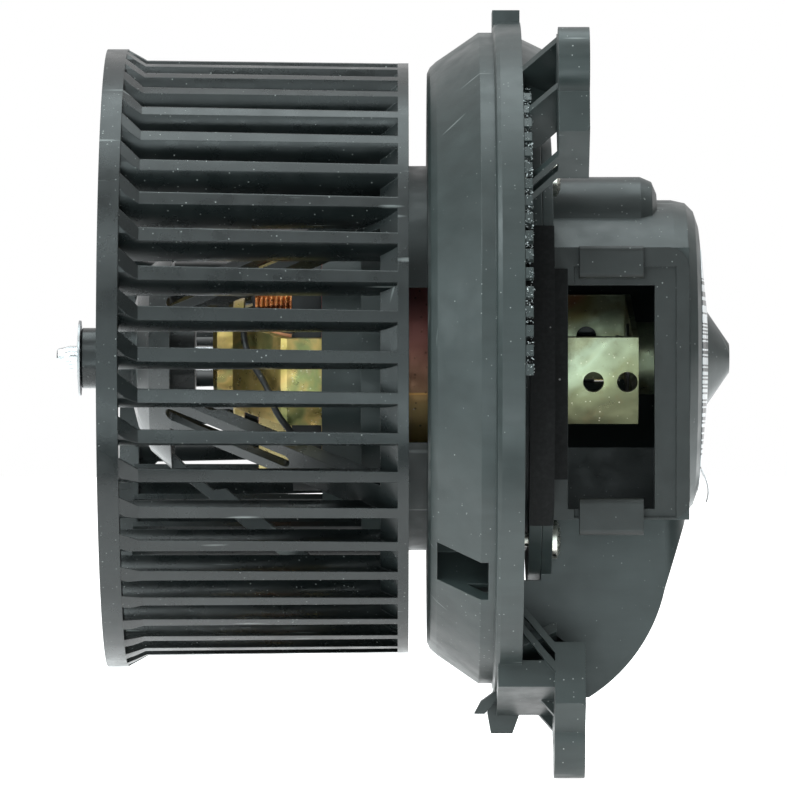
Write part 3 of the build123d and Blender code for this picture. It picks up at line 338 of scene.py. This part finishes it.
def metal(name, colour, roughness=0.25, brushed=(1.0, 1.0, 1.0), dirt=0.3):
    """Bare metal with fine turning or rolling marks, a little tarnish, and a painted highlight along its
    edges.
    """
    graph = Graph(name)
    marks = graph.noise(900.0, 4.0, 0.6, graph.stretch(brushed))
    tarnish = graph.span(graph.noise(130.0, 5.0, 0.65), 0.45, 0.75)
    base = graph.mix(graph.math("MULTIPLY", tarnish, dirt), colour, tinted(colour, 0.35))
    edge, rounded = graph.edges(0.15 * MM)
    # Painted highlight: a lighter copy of the metal along every sharp edge.
    base = graph.mix(graph.math("MULTIPLY", edge, 0.35), base, tinted(colour, 1.35))
    rough = graph.span(marks, 0.3, 0.7, roughness - 0.06, roughness + 0.14)
    graph.set(Metallic=1.0)
    return graph.finish(base, rough, graph.bump(marks, 0.015 * MM, 0.5, rounded))


def enamelled_copper():
    """Lacquered winding wire: warm, glossy, with fine strands."""
    graph = Graph("copper_wire")
    strands = graph.noise(700.0, 2.0, 0.5, graph.stretch((0.25, 1.0, 1.0)))
    base = graph.ramp(strands, [
        (0.3, (0.28, 0.07, 0.02)),
        (0.55, (0.78, 0.25, 0.06)),
        (0.8, (0.95, 0.45, 0.16)),
    ])
    rough = graph.span(strands, 0.2, 0.8, 0.18, 0.4)
    graph.set(Metallic=0.8, Coat_Weight=0.6, Coat_Roughness=0.12)
    return graph.finish(base, rough, graph.bump(strands, 0.12 * MM, 0.8))


def dull_solid(name, colour, roughness=0.7, grain=1200.0, depth=0.03):
    """Rubber, ferrite, carbon and fibre: matt, granular, slightly uneven in tone."""
    graph = Graph(name)
    cloud = graph.span(graph.noise(120.0, 5.0), 0.3, 0.7)
    base = graph.mix(cloud, tinted(colour, 0.7), tinted(colour, 1.3))
    dots = specks(graph, 380.0, 0.12, 0.15)
    base = graph.mix(graph.math("MULTIPLY", dots, 0.5), base, GREY_SPECK)
    height = graph.noise(grain, 3.0)
    rough = graph.span(height, 0.2, 0.8, roughness - 0.08, roughness + 0.12)
    return graph.finish(base, rough, graph.bump(height, depth * MM, 0.7))


def bar_label():
    """Silvered paper with plain generic bars and blank space, no lettering."""
    graph = Graph("label_paper")
    bars_per_metre = 2400.0
    print_centre = -4.0 * MM
    print_half_height = 23.0 * MM
    print_far_side = -12.0 * MM
    height = graph.axis("Z")
    row = graph.math("FLOOR", graph.math("MULTIPLY", height, bars_per_metre), 0.0)
    chance = graph.add("ShaderNodeTexWhiteNoise", noise_dimensions="1D")
    graph.link(row, chance.inputs["W"])
    bar = graph.math("GREATER_THAN", chance.outputs["Value"], 0.52)
    from_centre = graph.math("ABSOLUTE", graph.math("ADD", height, -print_centre))
    zone = graph.math("LESS_THAN", from_centre, print_half_height)
    band = graph.math("LESS_THAN", graph.axis("Y"), print_far_side)
    ink = graph.math("MULTIPLY", graph.math("MULTIPLY", bar, zone), band)
    crease = graph.noise(160.0, 4.0)
    paper = graph.mix(graph.span(crease, 0.3, 0.7), (0.62, 0.64, 0.66), (0.88, 0.89, 0.90))
    base = graph.mix(graph.math("MULTIPLY", ink, 0.93), paper, PRINT_BLACK)
    rough = graph.span(crease, 0.2, 0.8, 0.22, 0.42)
    graph.set(Specular_IOR_Level=0.7)
    return graph.finish(base, rough, graph.bump(crease, 0.08 * MM, 0.5))


def burr_plastic():
    """Torn flash: the same plastic, whitened by stretching."""
    graph = Graph("burr_plastic")
    tone = graph.noise(600.0, 3.0)
    base = graph.ramp(tone, [
        (0.35, (0.10, 0.11, 0.11)),
        (0.52, (0.36, 0.39, 0.39)),
        (0.7, (0.75, 0.78, 0.77)),
    ])
    rough = graph.span(tone, 0.2, 0.8, 0.3, 0.6)
    return graph.finish(base, rough, graph.bump(tone, 0.05 * MM, 0.8))


GOLD_STOPS = [
    (0.0, (0.15, 0.16, 0.05)),
    (0.3, (0.42, 0.33, 0.09)),
    (0.55, (0.62, 0.44, 0.16)),
    (0.75, (0.30, 0.33, 0.13)),
    (1.0, (0.62, 0.32, 0.22)),
]
GREEN_GOLD_STOPS = [
    (0.0, (0.10, 0.10, 0.055)),
    (0.35, (0.24, 0.25, 0.14)),
    (0.6, (0.46, 0.52, 0.36)),
    (0.85, (0.34, 0.30, 0.13)),
    (1.0, (0.36, 0.18, 0.09)),
]

MATERIALS = {
    "housing_plastic": moulded_plastic("housing_plastic", (0.0250, 0.0330, 0.0320), 0.36, 0.55, 0.7),
    "wheel_plastic": moulded_plastic("wheel_plastic", (0.0080, 0.0108, 0.0108), 0.28, 0.8, 0.6),
    "card_plastic": moulded_plastic("card_plastic", (0.010, 0.011, 0.011), 0.5, 0.3, 0.3),
    "connector_plastic": moulded_plastic("connector_plastic", (0.016, 0.018, 0.018), 0.45, 0.3, 0.4),
    "core_plastic": dull_solid("core_plastic", (0.05, 0.028, 0.014)),
    "screw_steel": metal("screw_steel", (0.78, 0.76, 0.68), 0.24),
    "label_paper": bar_label(),
    "can_steel": can_steel(),
    "zinc_steel": yellow_zinc("zinc_steel", GOLD_STOPS),
    "spring_steel": metal("spring_steel", (0.42, 0.43, 0.44), 0.34),
    "shaft_steel": metal("shaft_steel", (0.80, 0.81, 0.82), 0.16, (0.12, 1.0, 1.0), 0.2),
    "lamination_steel": metal("lamination_steel", (0.40, 0.39, 0.38), 0.35, (6.0, 0.3, 0.3), 0.4),
    "ferrite": dull_solid("ferrite", (0.055, 0.056, 0.06), 0.6),
    "isolator_rubber": dull_solid("isolator_rubber", (0.018, 0.018, 0.018), 0.75),
    "bronze": metal("bronze", (0.58, 0.40, 0.20), 0.42, dirt=0.5),
    "brass": metal("brass", (0.80, 0.62, 0.30), 0.28),
    "copper_wire": enamelled_copper(),
    "commutator_copper": metal("commutator_copper", (0.78, 0.38, 0.20), 0.3, (0.2, 1.0, 1.0), 0.5),
    "lead_insulation": dull_solid("lead_insulation", (0.015, 0.015, 0.016), 0.4, 700.0, 0.02),
    "insulator_fibre": dull_solid("insulator_fibre", (0.34, 0.29, 0.17), 0.8),
    "washer_nylon": dull_solid("washer_nylon", (0.70, 0.68, 0.60), 0.5),
    "carbon": dull_solid("carbon", (0.035, 0.035, 0.037), 0.5),
}
SIDE_PLASTIC = moulded_plastic("side_cover_plastic", (0.0110, 0.0130, 0.0120), 0.5, 0.5, 0.6)
REAR_ZINC = yellow_zinc("rear_zinc_steel", GREEN_GOLD_STOPS, 0.34, 30.0)
BURR = burr_plastic()
# Near-black foam, used as painted shade in the recess beside the flange.
SHADOW_FOAM = dull_solid("shadow_seal_foam", (0.004, 0.0042, 0.0042), 0.95, 900.0, 0.08)

# Nodes whose surface differs from the rest of their slot: a greener bracket and a blacker moulding.
OWN_MATERIALS = {"rear_bracket": REAR_ZINC, "side_cover": SIDE_PLASTIC}


def dress_nodes():
    """Give every CAD node the material of its slot, or its own where it has one."""
    slots = {entry["node"]: entry["material_slot"] for entry in frame["record"]["subparts"]}
    for name, piece in nodes.items():
        chosen = OWN_MATERIALS.get(name, MATERIALS[slots[name]])
        if not piece.material_slots:
            piece.data.materials.append(chosen)
        for holder in piece.material_slots:
            holder.material = chosen


# ---------------------------------------------------------------- added pieces
def attach(piece, body, material):
    """Fix a piece to its body and material."""
    piece.data.materials.append(material)
    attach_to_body(piece, body)


def wire(name, points, radius, body, material):
    """Round wire along given points, in millimetres."""
    curve = bpy.data.curves.new(name, "CURVE")
    curve.dimensions = "3D"
    curve.bevel_depth = radius * MM
    curve.bevel_resolution = 4
    curve.use_fill_caps = True
    spline = curve.splines.new("NURBS")
    spline.points.add(len(points) - 1)
    for point, place in zip(spline.points, points):
        point.co = (*(value * MM for value in place), 1.0)
    spline.order_u = 3
    spline.use_endpoint_u = True
    piece = bpy.data.objects.new(name, curve)
    bpy.context.scene.collection.objects.link(piece)
    attach(piece, body, material)


def bracket_wires():
    """Two insulated wires that lie across the near strap of the front bracket."""
    wire("strap_wire_long", [
        (-60.0, -20.8, 9.0), (-59.8, -22.5, 4.0), (-58.0, -24.6, -1.0), (-55.6, -28.0, -4.6),
        (-53.6, -31.0, -8.0), (-52.4, -32.6, -12.0), (-50.6, -32.8, -15.0), (-48.2, -31.4, -18.0),
    ], 0.8, "housing", MATERIALS["lead_insulation"])
    wire("strap_wire_short", [
        (-57.4, -22.6, 14.5), (-56.6, -25.2, 11.0), (-54.0, -29.6, 8.0),
        (-51.4, -33.4, 6.6), (-47.6, -34.9, 6.2),
    ], 0.7, "housing", MATERIALS["lead_insulation"])


def flake(build, centre, size, rng):
    """One small torn flake: a squashed, randomly turned tetrahedron."""
    corners = []
    for _ in range(4):
        offset = Vector((rng.uniform(-1, 1), rng.uniform(-1, 1), rng.uniform(-1, 1))).normalized()
        corners.append(build.verts.new(centre + offset * size * rng.uniform(0.45, 1.0)))
    for trio in ((0, 1, 2), (0, 2, 3), (0, 3, 1), (1, 3, 2)):
        build.faces.new([corners[index] for index in trio])


def flash_burrs():
    """Moulding flash left along the near, upper part of the flange's back edge."""
    rng = random.Random(11)
    build = bmesh.new()
    flange_back = 6.7 * MM
    flange_radius = 81.5 * MM
    flake_count = 520
    upper_end, lower_end = -52.0, 3.0
    for _ in range(flake_count):
        turn = math.radians(rng.uniform(upper_end, lower_end))
        radius = flange_radius - rng.uniform(0.0, 0.7) * MM
        along = flange_back + rng.uniform(0.1, 1.9) * MM
        place = Vector((along, -radius * math.cos(turn), -radius * math.sin(turn)))
        flake(build, place, rng.uniform(0.15, 0.55) * MM, rng)
    mesh = bpy.data.meshes.new("flash_burrs")
    bmesh.ops.recalc_face_normals(build, faces=build.faces)
    build.to_mesh(mesh)
    build.free()
    piece = bpy.data.objects.new("flash_burrs", mesh)
    bpy.context.scene.collection.objects.link(piece)
    attach(piece, "housing", BURR)


def sheet_piece(name, place, columns, rows, thickness, material):
    """Thin sheet from a function of (across, down), both 0 to 1, in metres."""
    build = bmesh.new()
    grid = [[build.verts.new(place(column / columns, row / rows)) for column in range(columns + 1)]
            for row in range(rows + 1)]
    for upper, lower in zip(grid, grid[1:]):
        for column in range(columns):
            build.faces.new([upper[column], upper[column + 1], lower[column + 1], lower[column]])
    mesh = bpy.data.meshes.new(name)
    build.to_mesh(mesh)
    build.free()
    piece = bpy.data.objects.new(name, mesh)
    bpy.context.scene.collection.objects.link(piece)
    thick = piece.modifiers.new("thickness", "SOLIDIFY")
    thick.thickness = thickness
    attach(piece, "housing", material)


def label_flap():
    """Lower corner of the label, peeled and curling away from the dome."""
    dome_x, flap_far_y, flap_top = 50.35, -3.0, -26.5
    flap_drop, curl_lift = 8.5, 2.0

    def place(across, down):
        lift = curl_lift * math.sin(math.pi * 0.72 * down)
        width = 10.0 - 4.0 * down
        return Vector((dome_x + lift, flap_far_y - width * across, flap_top - flap_drop * down)) * MM
    sheet_piece("label_flap", place, 8, 10, 0.12 * MM, MATERIALS["label_paper"])


def shadow_foam_seals():
    """Black foam sheets as painted shade in the recess beside the flange: a band over the joint of the two
    flanges, and a strip on the frame's front bar.
    """
    band_front, band_width, band_radius = 8.3, 5.8, 55.35
    band_start, band_sweep = -34.0, 80.0
    strip_front, strip_width, strip_face = 13.7, 3.7, -41.15
    strip_top, strip_drop = 21.0, 50.0

    def band(across, down):
        turn = math.radians(band_start + band_sweep * down)
        radius = band_radius + 0.12 * math.sin(math.pi * across)
        along = band_front + band_width * across
        return Vector((along, -radius * math.cos(turn), -radius * math.sin(turn))) * MM

    def strip(across, down):
        crown = 0.1 * math.sin(math.pi * across)
        along = strip_front + strip_width * across
        return Vector((along, strip_face - crown, strip_top - strip_drop * down)) * MM
    # Both sheets are painted shade: near-black foam where the recess lies in shadow.
    sheet_piece("joint_shadow_seal", band, 6, 80, 0.25 * MM, SHADOW_FOAM)
    sheet_piece("frame_shadow_seal", strip, 6, 24, 0.2 * MM, SHADOW_FOAM)


# ---------------------------------------------------------------- stage
def plain_white(name, strength):
    graph = Graph(name)
    tone = graph.noise(3.0, 2.0)
    colour = graph.mix(graph.span(tone, 0.3, 0.7), (0.92, 0.92, 0.92), (0.95, 0.95, 0.95))
    graph.set(Roughness=0.7, Emission_Color=(*PLAIN_LIGHT, 1.0), Emission_Strength=strength)
    return graph.finish(colour)


def floor():
    """White table: its front edge stays close to the object, so little light bounces back from in front."""
    mesh = bpy.data.meshes.new("floor")
    level = cad_low[2] - FLOOR_GAP
    outline = ((-FLOOR_REACH, FLOOR_FRONT), (FLOOR_REACH, FLOOR_FRONT),
               (FLOOR_REACH, FLOOR_REACH), (-FLOOR_REACH, FLOOR_REACH))
    mesh.from_pydata([(*corner, level) for corner in outline], [], [(0, 1, 2, 3)])
    piece = bpy.data.objects.new("floor", mesh)
    bpy.context.scene.collection.objects.link(piece)
    piece.data.materials.append(plain_white("floor_white", FLOOR_GLOW))


def softbox(name, place, size, power):
    """Rectangular cool light that faces the object."""
    light = bpy.data.lights.new(name, "AREA")
    light.shape = "RECTANGLE"
    light.size = size[0]
    light.size_y = size[1]
    light.energy = power
    light.color = COOL_LIGHT
    holder = bpy.data.objects.new(name, light)
    holder.location = place
    inward = Vector() - Vector(place)
    holder.rotation_euler = inward.to_track_quat("-Z", "Y").to_euler()
    bpy.context.scene.collection.objects.link(holder)


def remap(tree, value, low, high, to_low, to_high):
    """Straight-line remap in the world's node tree."""
    node = tree.nodes.new("ShaderNodeMapRange")
    for socket, number in (("From Min", low), ("From Max", high), ("To Min", to_low), ("To Max", to_high)):
        node.inputs[socket].default_value = number
    tree.links.new(value, node.inputs["Value"])
    return node.outputs[0]


def larger(tree, first, second):
    node = tree.nodes.new("ShaderNodeMath")
    node.operation = "MAXIMUM"
    tree.links.new(first, node.inputs[0])
    tree.links.new(second, node.inputs[1])
    return node.outputs[0]


def world():
    """White studio: bright above and behind, dim on the camera's side, plain white as a backdrop."""
    surround = bpy.data.worlds.new("studio")
    bpy.context.scene.world = surround
    surround.use_nodes = True
    tree = surround.node_tree
    background = tree.nodes["Background"]
    coords = tree.nodes.new("ShaderNodeTexCoord")
    split = tree.nodes.new("ShaderNodeSeparateXYZ")
    tree.links.new(coords.outputs["Generated"], split.inputs[0])
    from_above = remap(tree, split.outputs["Z"], -0.1, 0.9, 0.04, 0.7)
    from_behind = remap(tree, split.outputs["Y"], -0.1, 0.7, 0.0, 0.8)
    path = tree.nodes.new("ShaderNodeLightPath")
    strength = larger(tree, from_above, from_behind)
    tree.links.new(larger(tree, path.outputs["Is Camera Ray"], strength), background.inputs["Strength"])
    background.inputs["Color"].default_value = (*PLAIN_LIGHT, 1.0)


def lights():
    """Five softboxes around the object: name, place, width and height, power."""
    softbox("key_box", (-0.62, -0.88, 0.84), (0.9, 0.5), 11.0)
    softbox("top_box", (0.0, 0.1, 1.2), (1.4, 0.9), 11.0)
    softbox("front_fill", (-0.3, -1.95, 0.1), (1.8, 1.0), 9.0)
    softbox("low_front", (-0.1, -1.05, -0.40), (1.4, 0.3), 5.0)
    softbox("left_box", (-1.3, -0.5, 0.1), (0.4, 1.0), 4.0)


def camera():
    lens = bpy.data.cameras.new("camera")
    lens.sensor_width = SENSOR
    lens.lens = SENSOR * CAMERA_DISTANCE / VIEW_WIDTH
    lens.clip_end = CAMERA_FAR_CLIP
    holder = bpy.data.objects.new("camera", lens)
    holder.location = (CAMERA_X, -CAMERA_DISTANCE, CAMERA_Z)
    holder.rotation_euler = (math.radians(90.0), 0.0, 0.0)
    bpy.context.scene.collection.objects.link(holder)
    bpy.context.scene.camera = holder


dress_nodes()
bracket_wires()
flash_burrs()
label_flap()
shadow_foam_seals()
floor()
world()
lights()
camera()
bpy.context.scene.view_settings.view_transform = "Standard"
